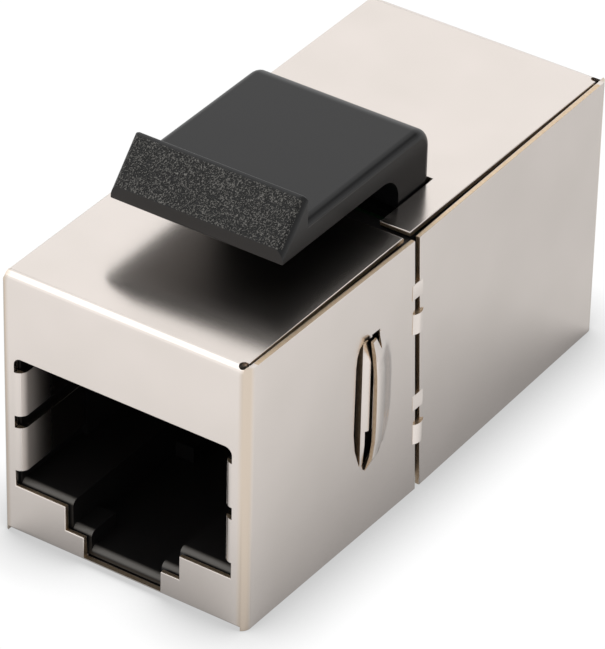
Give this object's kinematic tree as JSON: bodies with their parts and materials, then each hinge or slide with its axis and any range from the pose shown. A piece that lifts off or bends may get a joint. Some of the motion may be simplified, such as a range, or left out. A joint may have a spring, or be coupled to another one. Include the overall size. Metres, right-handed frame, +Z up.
{
  "type": "rj45 inline coupler",
  "caption": "Shielded in-line coupler joining two modular network plugs, with a port at each end and a sprung snap-in latch on top.",
  "frame": {"origin": "middle of the underside", "axes": "+Y from the port end with the latch's tip towards the other port, +Z up through the latch, X across the width"},
  "size_m": [0.016, 0.032, 0.0199],
  "materials": {
    "nickel_plated_shield": "satin nickel-plated brass sheet",
    "black_housing": "moulded PBT, semi-matt",
    "latch_plastic": "moulded ABS, smooth with a spark-eroded ramp",
    "circuit_board": "solder-masked glass-epoxy",
    "gold_plated_contact": "gold-plated phosphor bronze"
  },
  "bodies": {
    "coupler": {"shield_shell": "nickel_plated_shield", "front_jack_housing": "black_housing", "rear_jack_housing": "black_housing", "circuit_board": "circuit_board", "front_contact_carrier": "black_housing", "rear_contact_carrier": "black_housing", "front_contact_1": "gold_plated_contact", "front_contact_2": "gold_plated_contact", "front_contact_3": "gold_plated_contact", "front_contact_4": "gold_plated_contact", "front_contact_5": "gold_plated_contact", "front_contact_6": "gold_plated_contact", "front_contact_7": "gold_plated_contact", "front_contact_8": "gold_plated_contact", "rear_contact_1": "gold_plated_contact", "rear_contact_2": "gold_plated_contact", "rear_contact_3": "gold_plated_contact", "rear_contact_4": "gold_plated_contact", "rear_contact_5": "gold_plated_contact", "rear_contact_6": "gold_plated_contact", "rear_contact_7": "gold_plated_contact", "rear_contact_8": "gold_plated_contact"},
    "latch": {"keystone_latch": "latch_plastic"}
  },
  "joints": [
    {"name": "latch_press", "type": "hinge", "parent": "coupler", "child": "latch", "pos_m": [0, 0.00175, 0.0144], "axis": [1, 0, 0], "range_deg": [0, 7.5], "stiffness_Nm_per_rad": 0.4, "springref_deg": -2.86}
  ]
}
